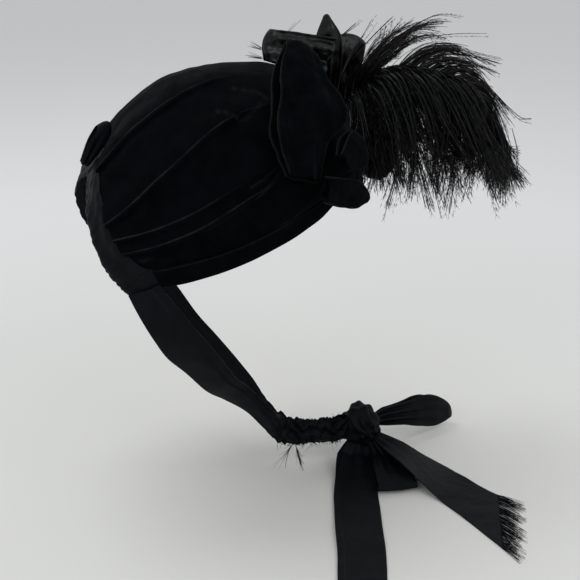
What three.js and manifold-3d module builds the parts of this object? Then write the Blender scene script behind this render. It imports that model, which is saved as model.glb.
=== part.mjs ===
// Black velvet mourning bonnet with satin bow, ostrich plume and ribbon ties.
// Millimetres, +Z up. The origin is the inside top of the crown, where the head bears.
// +X is the wearer's front, +Y the wearer's left.

import * as THREE from "three";
import { mergeVertices } from "three/addons/utils/BufferGeometryUtils.js";
import Module from "manifold-3d";

// Driving dimensions
const VELVET = 2.0;          // wall of the draped crown, velvet on its foundation
const BAND_WALL = 2.4;       // folded velvet of the brim band
const BAND_HEIGHT = 10.5;    // at the sides and the back
const BAND_FRONT = 8.5;      // its height over the brow
const RIBBON = 1.0;          // wall of the faille ribbon
const SEAM_GAP = 1.1;        // air left where one cloth butts on the next
const PILE = 1.6;            // wall of the velvet loops
const SATIN = 1.2;           // wall of the satin loops
const LYING = -282.3;        // height at which the ends of the ties lie

// Colours of the cloths
const velvetBlack = new THREE.MeshStandardMaterial({ color: 0x07090b, roughness: 0.95, metalness: 0 });
const ribbonBlack = new THREE.MeshStandardMaterial({ color: 0x14171c, roughness: 0.7, metalness: 0 });
const satinBlack = new THREE.MeshStandardMaterial({ color: 0x101317, roughness: 0.35, metalness: 0 });
const plumeBlack = new THREE.MeshStandardMaterial({ color: 0x0b0b0c, roughness: 0.85, metalness: 0 });

const bonnet = new THREE.Group();
bonnet.name = "mourning_bonnet";

function addPiece(name, geometry, material) {
  const mesh = new THREE.Mesh(geometry, material);
  mesh.name = name;
  bonnet.add(mesh);
}

// Small maths
const RAD = Math.PI / 180;
const lerp = THREE.MathUtils.lerp;
const clamp = THREE.MathUtils.clamp;
const smooth = (a, b, x) => THREE.MathUtils.smoothstep(x, a, b);
const vec = (x, y, z) => new THREE.Vector3(x, y, z);

// A smooth value out of one column of a table whose rows are evenly spaced for t from 0 to 1
function column(rows, key, t) {
  const place = clamp(t, 0, 1) * (rows.length - 1);
  const i = Math.min(Math.floor(place), rows.length - 2);
  const s = place - i;
  const at = (k) => rows[clamp(k, 0, rows.length - 1)][key];
  const before = i === 0 ? 2 * at(0) - at(1) : at(i - 1);
  const after = i === rows.length - 2 ? 2 * at(i + 1) - at(i) : at(i + 2);
  const a = at(i);
  const b = at(i + 1);
  return a + 0.5 * s * (b - before
    + s * (2 * before - 5 * a + 4 * b - after
    + s * (3 * (a - b) + after - before)));
}

function point(rows, keys, t) {
  return vec(column(rows, keys[0], t), column(rows, keys[1], t), column(rows, keys[2], t));
}

// A closed solid from a grid of points: the grid is its outer skin, and the inner skin lies one
// wall behind it. Columns run with u and rows with v, and the outer skin faces along du x dv.
function cloth(surface, across, along, wall, centred = false) {
  const outer = [];
  for (let j = 0; j <= along; j++) {
    for (let i = 0; i <= across; i++) outer.push(surface(i / across, j / along));
  }
  const stride = across + 1;
  const get = (i, j) => outer[clamp(j, 0, along) * stride + clamp(i, 0, across)];
  const normals = [];
  for (let j = 0; j <= along; j++) {
    for (let i = 0; i <= across; i++) {
      const du = get(i + 1, j).clone().sub(get(i - 1, j));
      const dv = get(i, j + 1).clone().sub(get(i, j - 1));
      normals.push(du.cross(dv).normalize());
    }
  }
  const count = outer.length;
  const lift = centred ? wall / 2 : 0;
  const positions = [];
  outer.forEach((p, k) => positions.push(...p.clone().addScaledVector(normals[k], lift).toArray()));
  outer.forEach((p, k) => positions.push(...p.clone().addScaledVector(normals[k], lift - wall).toArray()));
  const faces = [];
  const quad = (a, b, c, d) => faces.push(a, b, c, a, c, d);
  for (let j = 0; j < along; j++) {
    for (let i = 0; i < across; i++) {
      const a = j * stride + i;
      quad(a, a + 1, a + 1 + stride, a + stride);
      quad(count + a, count + a + stride, count + a + 1 + stride, count + a + 1);
    }
  }
  for (let i = 0; i < across; i++) {
    const last = along * stride + i;
    quad(i, count + i, count + i + 1, i + 1);
    quad(last, last + 1, count + last + 1, count + last);
  }
  for (let j = 0; j < along; j++) {
    const left = j * stride;
    const right = left + across;
    quad(left, left + stride, count + left + stride, count + left);
    quad(right, count + right, count + right + stride, right + stride);
  }
  const geometry = new THREE.BufferGeometry();
  geometry.setAttribute("position", new THREE.Float32BufferAttribute(positions, 3));
  geometry.setIndex(faces);
  return geometry;
}

// Crown
// Each section is an arch from the right rim over the top to the left rim, back to front.
// rimX, rimY, rimZ: where it meets the band; topX, topZ: its crest; lean: how far its shoulders
// lie behind the straight line between the two; rise: 1 for a round arch, more for a flatter side.
const SECTIONS = [
  { rimX: -51, rimY: 68.0, rimZ: -102, topX: -65, topZ: -47, lean: 14, rise: 2.1 },
  { rimX: -42, rimY: 72.0, rimZ: -100, topX: -57.5, topZ: -35, lean: 9, rise: 1.65 },
  { rimX: -30, rimY: 75.5, rimZ: -97, topX: -46, topZ: -20.5, lean: 5, rise: 1.3 },
  { rimX: -14, rimY: 78.0, rimZ: -93, topX: -27.5, topZ: -7, lean: 2, rise: 1.1 },
  { rimX: 2, rimY: 79.0, rimZ: -88, topX: -6, topZ: 0.5, lean: 1, rise: 1 },
  { rimX: 16, rimY: 77.5, rimZ: -83, topX: 18, topZ: 3, lean: 0, rise: 1 },
  { rimX: 30, rimY: 73.5, rimZ: -78.5, topX: 42, topZ: 0.5, lean: -2, rise: 1 },
  { rimX: 42, rimY: 68.0, rimZ: -74.5, topX: 62, topZ: -10, lean: -4, rise: 1 },
  { rimX: 52, rimY: 62.0, rimZ: -71.5, topX: 78, topZ: -26, lean: -5, rise: 1 },
  { rimX: 60, rimY: 56.5, rimZ: -68, topX: 89, topZ: -44, lean: -4, rise: 1 },
  { rimX: 66, rimY: 51.0, rimZ: -65.5, topX: 95.5, topZ: -62.5, lean: 0, rise: 1 },
];
// Pleats fan from the back edge to the bow. back to front: the angle up the arch, in degrees, at
// which each one runs at five stations; depth: how far it stands proud; to: the station it fades at.
const PLEATS = [
  { back: 25.5, quarter: 14.3, middle: 17.5, late: 32, front: 40, depth: 2.4, to: 0.62 },
  { back: 34, quarter: 20.8, middle: 23.5, late: 38, front: 46, depth: 1.8, to: 0.46 },
  { back: 42, quarter: 40, middle: 50.5, late: 60, front: 64, depth: 2.4, to: 0.6 },
  { back: 71, quarter: 67.5, middle: 73, late: 77, front: 79, depth: 2.0, to: 0.52 },
];
const PLEAT_STEP = 1.6;      // degrees over which a pleat drops
const PLEAT_SLOPE = 12;      // degrees over which its back fades
const CROWN_ROWS = 18;
const STEPS_BETWEEN = [2, 1, 3, 3, 3];

function pleatAngle(pleat, v) {
  const stations = [pleat.back, pleat.quarter, pleat.middle, pleat.late, pleat.front];
  return column(stations.map((angle) => ({ angle })), "angle", v);
}

function pleatDepth(pleat, v) {
  return pleat.depth * (1 - smooth(pleat.to - 0.25, pleat.to, v));
}

// Angles of the mesh's columns at one station, with a pair of columns on each pleat
function archAngles(v) {
  const side = [0];
  let lowest = 0;
  PLEATS.forEach((pleat, k) => {
    const crest = pleatAngle(pleat, v);
    const foot = crest - PLEAT_STEP;
    for (let s = 1; s <= STEPS_BETWEEN[k]; s++) side.push(lerp(lowest, foot, s / STEPS_BETWEEN[k]));
    side.push(crest);
    lowest = crest;
  });
  const last = STEPS_BETWEEN[PLEATS.length];
  for (let s = 1; s <= last; s++) side.push(lerp(lowest, 90, s / last));
  const far = side.slice(0, -1).reverse().map((angle) => 180 - angle);
  return side.concat(far);
}

function archPoint(v, degrees) {
  const angle = degrees * RAD;
  const height = Math.sin(angle) ** column(SECTIONS, "rise", v);
  const lean = column(SECTIONS, "lean", v) * Math.sin(2 * Math.min(angle, Math.PI - angle));
  return vec(
    lerp(column(SECTIONS, "rimX", v), column(SECTIONS, "topX", v), height) - lean,
    -column(SECTIONS, "rimY", v) * Math.cos(angle),
    lerp(column(SECTIONS, "rimZ", v), column(SECTIONS, "topZ", v), height),
  );
}

function pleatLift(v, degrees) {
  const side = Math.min(degrees, 180 - degrees);
  let lift = 0;
  for (const pleat of PLEATS) {
    const above = side - pleatAngle(pleat, v);
    const rise = smooth(-PLEAT_STEP, 0, above);
    const fade = 1 - smooth(0, PLEAT_SLOPE, above);
    lift += pleatDepth(pleat, v) * rise * fade;
  }
  return lift;
}

const HEAD_CENTRE = vec(0, 0, -105);

function crownPoint(v, degrees) {
  const p = archPoint(v, degrees);
  const out = p.clone().sub(HEAD_CENTRE).normalize();
  return p.addScaledVector(out, pleatLift(v, degrees));
}

const crownColumns = archAngles(0).length - 1;
const crownSkin = (u, v) => crownPoint(v, archAngles(v)[Math.round((1 - u) * crownColumns)]);
addPiece("crown", cloth(crownSkin, crownColumns, CROWN_ROWS, VELVET), velvetBlack);

// Brim band
// It hangs from the crown's lower edge: along the right side, round the front and back along the
// left side. It leans with the back edge at its ends and flares out a little at the front.
const BAND_STEPS = 40;
const BAND_SIDE = 0.36;      // share of its length that each side takes
const BAND_LEAN = 0.42;      // slope of its ends, along with the back edge
const BAND_FLARE = 0.05;     // slope outwards over the brow

function bandEdge(t) {
  if (t < BAND_SIDE) return { v: t / BAND_SIDE, angle: 0 };
  if (t > 1 - BAND_SIDE) return { v: (1 - t) / BAND_SIDE, angle: 180 };
  return { v: 1, angle: 180 * (t - BAND_SIDE) / (1 - 2 * BAND_SIDE) };
}

function bandDown(place) {
  const back = BAND_LEAN * (1 - smooth(0, 0.3, place.v));
  const front = BAND_FLARE * smooth(0.6, 1, place.v);
  const swing = Math.abs(Math.cos(place.angle * RAD));
  return vec(back + front * (1 - 0.6 * swing), -front * Math.cos(place.angle * RAD), -1).normalize();
}

const bandSkin = (u, t) => {
  const place = bandEdge(lerp(0.006, 0.994, t));
  const start = archPoint(place.v, place.angle);
  const hang = SEAM_GAP + (1 - u) * lerp(BAND_HEIGHT, BAND_FRONT, smooth(0.55, 1, place.v));
  return start.addScaledVector(bandDown(place), hang);
};
addPiece("brim_band", cloth((u, t) => bandSkin(1 - u, 1 - t), 2, BAND_STEPS, BAND_WALL), velvetBlack);

// Back binding
// Gathered ribbon that runs behind the velvet's back edge, from below the right corner over the
// back of the head to below the left corner. Its outer edge, from the corner to the centre back:
const BINDING_OUTER = [
  { x: -61, y: 61, z: -120 },
  { x: -67, y: 58, z: -114 },
  { x: -73, y: 54, z: -107 },
  { x: -78, y: 46.5, z: -95 },
  { x: -81, y: 35, z: -80 },
  { x: -79, y: 19, z: -68 },
  { x: -76, y: 0, z: -61 },
];
const BINDING_TAIL = 20;     // degrees by which it runs on below the velvet's corner
const BINDING_STEPS = 64;
const GATHERS = 8;           // gathers on each side of the centre back
const GATHER_DEPTH = 0.9;
const BINDING_SWELL = 2.2;

function bindingInner(angle) {
  if (angle >= 0) return archPoint(0, angle);
  const down = bandDown({ v: 0, angle: 0 });
  return archPoint(0, 0).addScaledVector(down, BAND_HEIGHT * -angle / BINDING_TAIL);
}

const bindingSkin = (u, t) => {
  const half = 1 - Math.abs(2 * t - 1);
  const mirror = t > 0.5 ? -1 : 1;
  const inner = bindingInner(lerp(-BINDING_TAIL, 90, half));
  const outer = point(BINDING_OUTER, ["x", "y", "z"], half);
  outer.y = -outer.y;
  const reach = outer.clone().sub(inner);
  const p = inner.addScaledVector(reach, lerp(SEAM_GAP / reach.length(), 1, u));
  const out = p.clone().sub(HEAD_CENTRE).normalize();
  const ripple = GATHER_DEPTH * Math.sin(2 * Math.PI * GATHERS * half) * smooth(0, 0.08, half);
  p.addScaledVector(out, BINDING_SWELL * Math.sin(Math.PI * u) + ripple * (0.4 + 0.6 * u));
  p.y *= mirror;
  return p;
};
addPiece("back_binding", cloth((u, t) => bindingSkin(u, 1 - t), 2, BINDING_STEPS, RIBBON), ribbonBlack);

// Loops of cloth
// A loop leaves its root, runs out on one face, folds over at its tip and comes back on the other.
// widths, from root to tip: how far the cloth reaches on each side of the axis, a for the side
// that across points from, b for the side it points to. swell: half the room between the faces;
// round: how far the tip's corners fall back; skew: how far its a corner reaches past its b corner;
// crown: how far each face bellies out; back: the share of swell and crown that its back face has.
function loopSurface({ root, tip, across, swell, widths, round = 0, skew = 0, crown = 0, back = 1, gap = 1.2 }) {
  const axis = tip.clone().sub(root);
  const along = axis.clone().normalize();
  const side = across.clone().addScaledVector(along, -across.dot(along)).normalize();
  const out = side.clone().cross(along).normalize();
  return (u, v) => {
    const turn = 2 * Math.PI * v;
    const reach = (1 - Math.cos(turn)) / 2;
    const a = column(widths, "a", reach);
    const b = column(widths, "b", reach);
    const edge = 2 * u - 1;
    const face = Math.cos(Math.PI * v);
    const share = v > 0.5 ? back : 1;
    const open = swell * Math.sin(turn) * (0.3 + 0.7 * reach);
    return root.clone()
      .addScaledVector(axis, reach)
      .addScaledVector(side, lerp(-a, b, u))
      .addScaledVector(along, -reach * reach * (round * edge * edge + skew * edge))
      .addScaledVector(out, share * (open + crown * (1 - edge * edge) * face) + gap * face);
  };
}

function addLoop(name, shape, material, wall, across = 4, steps = 20) {
  addPiece(name, cloth(loopSurface(shape), across, steps, wall, true), material);
}

const rows = (...pairs) => pairs.map(([a, b]) => ({ a, b }));

addLoop("back_ribbon_loop", {
  root: vec(-77, -4, -53), tip: vec(-62, -10, -27.5), across: vec(-0.85, -0.2, 0.5), swell: 3.5,
  widths: rows([2, 3], [3.5, 5], [4, 5]), round: 5, back: 0.8,
}, ribbonBlack, RIBBON, 2, 14);

// Velvet bow on the right front of the crown
addLoop("velvet_loop_main", {
  root: vec(36, -81, -52), tip: vec(46, -33, 17.5), across: vec(0.94, 0.3, -0.1), swell: 8,
  widths: rows([12, 10], [20, 14], [18, 29], [16, 16], [8, 8]), round: 3, crown: 2, back: 0.3,
}, velvetBlack, PILE, 5, 22);
addLoop("velvet_loop_front", {
  root: vec(60, -77, -45), tip: vec(78.5, -61, -38), across: vec(-0.1, 0.3, 0.93), swell: 4.5,
  widths: rows([6, 5], [10, 10], [11, 11]), round: 6, crown: 1.5, back: 0.4,
}, velvetBlack, PILE, 4, 16);
addLoop("velvet_lobe_low", {
  root: vec(46, -90, -57), tip: vec(80, -68, -69), across: vec(0.3, 0.25, 0.9), swell: 4.5,
  widths: rows([7, 7], [8, 8], [8, 8], [3, 3]), round: 2, crown: 1.5, back: 0.2,
}, velvetBlack, PILE, 3, 14);
addLoop("velvet_loop_left", {
  root: vec(104.5, -6, -57), tip: vec(122, -2, -68), across: vec(-0.3, 0, 0.95), swell: 5,
  widths: rows([10, 12], [14, 19], [11, 12]), round: 6, crown: 1.5,
}, velvetBlack, PILE, 4, 14);

// Satin bow behind it
addLoop("satin_loop_back", {
  root: vec(78, 9, -6), tip: vec(37, 9, 12.5), across: vec(0.05, 0.15, 0.98), swell: 7,
  widths: rows([6, 22], [6, 16], [9, 10]), round: 4, crown: 2,
}, satinBlack, SATIN, 3, 16);
addLoop("satin_peak", {
  root: vec(84, 22, -20), tip: vec(83, 22, 28), across: vec(0.95, -0.2, 0), swell: 2.4,
  widths: rows([7, 7], [8, 9], [8, 10], [6, 9], [1.5, 2]), round: 1,
}, satinBlack, SATIN, 2, 18);
addLoop("satin_loop_front", {
  root: vec(93, 31, -28), tip: vec(105, 31, 14), across: vec(0.95, 0.1, -0.2), swell: 4.5,
  widths: rows([6, 6], [9, 9], [11, 10]), round: 3, crown: 1,
}, satinBlack, SATIN, 3, 16);

// Ribbon ties
// Both edges of the right tie, from the bonnet's corner to the bow: outer (o) and inner (i).
// The left tie is the same, mirrored. Both hang below the ear and gather under the chin.
const TIE = [
  { ox: -62, oy: -62.6, oz: -121, ix: -44.8, iy: -70, iz: -113.4 },
  { ox: -57.5, oy: -68, oz: -131, ix: -37, iy: -73, iz: -123 },
  { ox: -51, oy: -68, oz: -144, ix: -28, iy: -72, iz: -137 },
  { ox: -43, oy: -64, oz: -158, ix: -19, iy: -69, iz: -150 },
  { ox: -31, oy: -58, oz: -172, ix: -10, iy: -64, iz: -164 },
  { ox: -17, oy: -49, oz: -190, ix: 0, iy: -56, iz: -180 },
  { ox: -4, oy: -42, oz: -201, ix: 10, iy: -46, iz: -192 },
  { ox: 12, oy: -33, oz: -216, ix: 21, iy: -36, iz: -206 },
  { ox: 26, oy: -23, oz: -235, ix: 32, iy: -26, iz: -221 },
  { ox: 40, oy: -13, oz: -254, ix: 43, iy: -13, iz: -235.5 },
  { ox: 55, oy: -7, oz: -261, ix: 55, iy: -7, iz: -242 },
  { ox: 70, oy: -5, oz: -263.5, ix: 69, iy: -5, iz: -245.5 },
  { ox: 83, oy: -4.5, oz: -265, ix: 82.5, iy: -4.5, iz: -246.5 },
  { ox: 91, oy: -4, oz: -264, ix: 90.5, iy: -4, iz: -249 },
];
const TIE_STEPS = 46;
const TIE_SHARE = 0.42;      // share of those steps that the smooth stretch takes
const CHIN_START = 0.68;     // where the gathered stretch under the chin begins
const CHIN_GATHERS = 7;
const CHIN_DEPTH = 1.4;
const LEFT_DROP = 4.5;       // the left tie lies a little lower beside the right one under the chin

function tieSurface(mirror) {
  return (u, v) => {
    const t = v < TIE_SHARE ? CHIN_START * v / TIE_SHARE
      : lerp(CHIN_START, 1, (v - TIE_SHARE) / (1 - TIE_SHARE));
    const outer = point(TIE, ["ox", "oy", "oz"], t);
    const inner = point(TIE, ["ix", "iy", "iz"], t);
    const p = outer.lerp(inner, u);
    const gathered = smooth(CHIN_START - 0.06, CHIN_START + 0.04, t);
    const crease = Math.sin(2 * Math.PI * (CHIN_GATHERS * (t - CHIN_START) / (1 - CHIN_START) + 0.8 * u));
    const fold = 1.6 * Math.sin(Math.PI * u) * (1 - gathered);
    p.y += -fold + CHIN_DEPTH * crease * gathered * (1 - smooth(0.95, 1, t));
    p.y *= mirror;
    if (mirror < 0) p.z -= LEFT_DROP * gathered * (1 - smooth(0.92, 1, t));
    return p;
  };
}

const rightTie = tieSurface(1);
const leftTie = tieSurface(-1);
addPiece("tie_right", cloth(rightTie, 2, TIE_STEPS, RIBBON, true), ribbonBlack);
addPiece("tie_left", cloth((u, v) => leftTie(1 - u, v), 2, TIE_STEPS, RIBBON, true), ribbonBlack);

// Bow tied under the chin
const KNOT = vec(106, -1, -256.5);
const KNOT_SIZE = vec(14.3, 12, 15.5);

function knotGeometry() {
  const ball = new THREE.SphereGeometry(1, 14, 10);
  ball.deleteAttribute("normal");
  ball.deleteAttribute("uv");
  const merged = mergeVertices(ball, 1e-4);
  const place = merged.attributes.position;
  for (let k = 0; k < place.count; k++) {
    const p = vec(place.getX(k), place.getY(k), place.getZ(k));
    const wrap = 1 + 0.07 * Math.cos(5 * Math.atan2(p.z, p.x) + 2 * p.y);
    p.multiplyScalar(wrap).multiply(KNOT_SIZE).add(KNOT);
    place.setXYZ(k, p.x, p.y, p.z);
  }
  return merged;
}
addPiece("chin_knot", knotGeometry(), ribbonBlack);

addLoop("bow_loop_upper", {
  root: vec(121.3, 7, -257), tip: vec(191, 29, -269.5), across: vec(-0.1, 0.35, 0.93), swell: 6,
  widths: rows([6, 6], [8, 9], [11.5, 12.5], [6.5, 6]), round: 3, skew: 3,
}, ribbonBlack, RIBBON, 3, 18);
addLoop("bow_loop_lower", {
  root: vec(116, -18, -273.5), tip: vec(112, -57, -278.5), across: vec(1, 0, 0), swell: 3.5,
  widths: rows([8, 6], [12, 11], [14, 14]), round: 1,
}, ribbonBlack, RIBBON, 3, 14);

// Long tail: both edges, l and r as the bow is seen from the wearer's right
const LONG_TAIL = [
  { lx: 88, ly: -2, lz: -270.5, rx: 111.5, ry: -7.5, rz: -274.5 },
  { lx: 82, ly: -14, lz: -276, rx: 109, ry: -20, rz: -278.5 },
  { lx: 77, ly: -27, lz: -280, rx: 105, ry: -33, rz: -281 },
  { lx: 69.5, ly: -45, lz: -282, rx: 98.5, ry: -53, rz: -282 },
  { lx: 62.5, ly: -66, lz: -282, rx: 93, ry: -71, rz: -282 },
  { lx: 55.5, ly: -88, lz: -281, rx: 86.5, ry: -91, rz: -281.5 },
  { lx: 49, ly: -110, lz: -282, rx: 79, ry: -115, rz: -282 },
  { lx: 42, ly: -130, lz: -282, rx: 71, ry: -137, rz: -282 },
  { lx: 34.5, ly: -152, lz: -282, rx: 62.5, ry: -158, rz: -282 },
];
const FRAYED_TAIL = [
  { lx: 111.5, ly: -14.5, lz: -265, rx: 122, ry: -7, rz: -263 },
  { lx: 113, ly: -29, lz: -264, rx: 135, ry: -12, rz: -270 },
  { lx: 118.5, ly: -44, lz: -267, rx: 147, ry: -15, rz: -279 },
  { lx: 127, ly: -57, lz: -274.5, rx: 155.4, ry: -26, rz: -282 },
  { lx: 135.5, ly: -76, lz: -281.5, rx: 163, ry: -46, rz: -282 },
  { lx: 141.5, ly: -99, lz: -282, rx: 169, ry: -63, rz: -282 },
  { lx: 146, ly: -121, lz: -282, rx: 174.5, ry: -76, rz: -282 },
  { lx: 149.5, ly: -139, lz: -282, rx: 179, ry: -82, rz: -282 },
];
const FRAY = 5;              // how far the ravelled end's threads reach past the weave
const FRAY_STRIPS = 8;

function tailSurface(table, ravelled) {
  return (u, t) => {
    const left = point(table, ["lx", "ly", "lz"], t);
    const right = point(table, ["rx", "ry", "rz"], t);
    const p = left.lerp(right, u);
    if (ravelled && t > 0.999) {
      const before = point(table, ["lx", "ly", "lz"], 0.9);
      const run = point(table, ["lx", "ly", "lz"], 1).sub(before).normalize();
      p.addScaledVector(run, Math.round(u * FRAY_STRIPS) % 2 === 0 ? FRAY : 0);
    }
    p.z = Math.max(p.z, LYING + RIBBON / 2);
    return p;
  };
}

addPiece("tail_long", cloth(tailSurface(LONG_TAIL, false), 2, 18, RIBBON, true), ribbonBlack);
addPiece("tail_frayed", cloth(tailSurface(FRAYED_TAIL, true), FRAY_STRIPS, 12, RIBBON, true), ribbonBlack);

// Ostrich plume
// Its quill rises from behind the bow, runs forward and curls down past the brow. length: of the
// barbs at each station, root to tip, on the drooping right vane and on the arching left one.
const QUILL_COURSE = [
  { x: 91, y: 3, z: -29, right: 54, left: 58 },
  { x: 101, y: 3, z: -13, right: 84, left: 68 },
  { x: 116, y: 3, z: -7, right: 94, left: 68 },
  { x: 135, y: 3, z: -7, right: 94, left: 66 },
  { x: 156, y: 3, z: -12, right: 86, left: 62 },
  { x: 177, y: 3, z: -24, right: 72, left: 54 },
  { x: 193, y: 3, z: -42, right: 54, left: 42 },
  { x: 202, y: 3, z: -61, right: 30, left: 28 },
];
// How a barb runs, for one of unit length: forward, outward, up at first and down at last
const RIGHT_BARBS = [
  { forward: 0.18, outward: -0.42, rise: 0.1, fall: 0.92 },
  { forward: 0.26, outward: -0.4, rise: 0.12, fall: 0.96 },
  { forward: 0.25, outward: -0.34, rise: 0, fall: 0.8 },
];
const LEFT_BARBS = [
  { forward: 0.5, outward: 0.15, rise: 1.1, fall: 0.35 },
  { forward: 0.8, outward: 0.3, rise: 0.85, fall: 0.52 },
  { forward: 0.95, outward: 0.35, rise: 0.5, fall: 0.64 },
  { forward: 0.85, outward: 0.35, rise: 0.2, fall: 0.75 },
  { forward: 0.55, outward: 0.3, rise: 0.05, fall: 0.9 },
];
const VANE_WALL = 2.4;
const VANE_SHARE = 0.42;     // share of the barbs' length over which they lie as one sheet
const LOCK_WALL = 1.5;
const LOCK_WIDTH = 10;
const LOCK_TAPER = 0.8;      // share of that width that a lock loses by its tip
const LOCK_STAGGER = 0.1;    // by how much of its length one lock ends short of the next
const VANE_GAP = 3.5;        // room between the two vanes at the quill

function barbPoint(side, barbs, t, s) {
  const quill = point(QUILL_COURSE, ["x", "y", "z"], t);
  const length = column(QUILL_COURSE, side, t);
  return quill.add(vec(
    length * column(barbs, "forward", t) * s,
    length * column(barbs, "outward", t) * s * (1.2 - 0.2 * s),
    length * (column(barbs, "rise", t) * s - column(barbs, "fall", t) * s * s),
  ));
}

const wasm = await Module();
wasm.setup();

function toManifold(geometry) {
  const merged = mergeVertices(geometry, 1e-4);
  return new wasm.Manifold(new wasm.Mesh({
    numProp: 3,
    vertProperties: new Float32Array(merged.attributes.position.array),
    triVerts: new Uint32Array(merged.index.array),
  }));
}

function fromManifold(solid) {
  const mesh = solid.getMesh();
  const geometry = new THREE.BufferGeometry();
  geometry.setAttribute("position", new THREE.BufferAttribute(mesh.vertProperties, 3));
  geometry.setIndex(new THREE.BufferAttribute(mesh.triVerts, 1));
  return geometry;
}

// One vane of the plume: a sheet along the quill, with tapered locks fused to it
function plumeVane({ side, barbs, shift, locks }) {
  const at = (t, s) => barbPoint(side, barbs, t, s).add(shift);
  const sheet = (u, v) => at(v, u * VANE_SHARE);
  let solid = toManifold(cloth(sheet, 2, 10, VANE_WALL, true));
  for (let k = 0; k < locks; k++) {
    const t = lerp(0.01, 0.99, k / (locks - 1));
    const run = at(Math.min(t + 0.02, 1), 0.5).sub(at(Math.max(t - 0.02, 0), 0.5)).normalize();
    const reach = 1 - LOCK_STAGGER * (k % 3);
    const lock = (u, v) => {
      const s = lerp(VANE_SHARE * 0.6, reach, v);
      const width = LOCK_WIDTH * (1 - LOCK_TAPER * v * v);
      return at(t, s).addScaledVector(run, width * (u - 0.5));
    };
    solid = solid.add(toManifold(cloth(lock, 1, 4, LOCK_WALL, true)));
  }
  return fromManifold(solid);
}

addPiece("plume_main", plumeVane({
  side: "right", barbs: RIGHT_BARBS, shift: vec(0, 0, 0), locks: 16,
}), plumeBlack);
addPiece("plume_upper", plumeVane({
  side: "left", barbs: LEFT_BARBS, shift: vec(0, VANE_GAP, 1), locks: 15,
}), plumeBlack);

export default bonnet;
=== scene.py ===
# %% [markdown]
# # A black mourning bonnet
# Silk velvet is draped over a stiff cap, a velvet and satin bow sits at its right front with an
# ostrich plume, and faille ribbon ties it under the chin. Nearly everything is black, so the
# pieces are told apart by how they take the light: velvet by its pile, ribbon by its ribs,
# satin by its gloss and the plume by its fine barbs.

import math
import random

import bmesh
import bpy
from mathutils import Matrix, Vector, noise


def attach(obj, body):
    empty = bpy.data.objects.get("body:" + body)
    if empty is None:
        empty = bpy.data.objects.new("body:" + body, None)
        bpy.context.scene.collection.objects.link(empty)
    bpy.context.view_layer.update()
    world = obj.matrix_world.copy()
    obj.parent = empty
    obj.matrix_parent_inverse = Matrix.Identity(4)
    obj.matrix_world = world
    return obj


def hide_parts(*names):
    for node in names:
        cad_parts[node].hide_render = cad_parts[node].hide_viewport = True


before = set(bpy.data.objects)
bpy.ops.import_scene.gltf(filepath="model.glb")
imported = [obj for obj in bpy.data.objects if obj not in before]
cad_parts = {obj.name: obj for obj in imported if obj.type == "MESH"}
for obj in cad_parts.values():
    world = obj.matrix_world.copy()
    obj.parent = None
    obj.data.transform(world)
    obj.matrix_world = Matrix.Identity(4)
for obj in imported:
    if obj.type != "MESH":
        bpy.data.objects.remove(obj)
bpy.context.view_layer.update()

# %% [markdown]
# The camera comes first. It looks at the wearer's right side from a little behind and above,
# so the height of every fold can be judged from the start.

# %% Camera
MM = 0.001
CAMERA_PLACE = (-131.61, -601.23, 80.82)  # mm
CAMERA_LENS = 62.07  # mm, on a sensor 36 mm wide


def place_camera():
    back = Vector((-0.2747395, -0.8986325, 0.3420201))
    right = Vector((0.9563048, -0.2923717, 0.0))
    up = Vector((0.0999970, 0.3270755, 0.9396926))
    lens = bpy.data.cameras.new("camera")
    lens.sensor_width = 36
    lens.lens = CAMERA_LENS
    camera = bpy.data.objects.new("camera", lens)
    bpy.context.scene.collection.objects.link(camera)
    turn = Matrix((right, up, back)).transposed().to_4x4()
    camera.matrix_world = Matrix.Translation(Vector(CAMERA_PLACE) * MM) @ turn
    bpy.context.scene.camera = camera


place_camera()

# %% [markdown]
# Each node of a material is added by one small function: it sets the node's own choices, its
# unlinked sockets and its incoming links. Colours are written as they look on a screen, and
# one function turns them to the linear values that the shader works in.

# %% Helpers for materials


def linear(hex_colour):
    channels = [int(hex_colour[k:k + 2], 16) / 255 for k in (1, 3, 5)]
    return [c / 12.92 if c <= 0.04045 else ((c + 0.055) / 1.055) ** 2.4 for c in channels] + [1.0]


def add_node(tree, kind, choices=None, values=None, links=None):
    node = tree.nodes.new(kind)
    for name, value in (choices or {}).items():
        setattr(node, name, value)
    for name, value in (values or {}).items():
        node.inputs[name].default_value = value
    for name, source in (links or {}).items():
        tree.links.new(source, node.inputs[name])
    return node


def colour_ramp(tree, source, stops):
    ramp = add_node(tree, "ShaderNodeValToRGB", links={"Fac": source})
    elements = ramp.color_ramp.elements
    for element, (place, colour) in zip(elements, stops):
        element.position = place
        element.color = linear(colour)
    for place, colour in stops[2:]:
        elements.new(place).color = linear(colour)
    return ramp


def new_material(name, shader_values):
    material = bpy.data.materials.new(name)
    material.use_nodes = True
    tree = material.node_tree
    tree.nodes.clear()
    shader = add_node(tree, "ShaderNodeBsdfPrincipled", values=shader_values)
    add_node(tree, "ShaderNodeOutputMaterial", links={"Surface": shader.outputs["BSDF"]})
    return material, tree, shader


# %% [markdown]
# Silk velvet is a dense pile of cut silk about 1 mm high. It swallows light that falls into it
# and gives a soft sheen where the pile is seen from the side, so its shader is a very dark,
# rough base under a faint grey sheen. The pile leans in patches, which makes it cloudy, and a
# thin painted sheen, a pale grey line in the base colour, runs along the edge of each fold. That
# painted sheen is a number stored on the mesh.

# %% Silk velvet
PILE_GRAIN = 0.7  # mm between tufts, drawn coarser than the real 0.2 so that it shows
PILE_PATCH = 14  # mm across a patch where the pile leans one way
SHEEN_BREAK = 2.2  # mm from break to break in a painted sheen line


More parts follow.
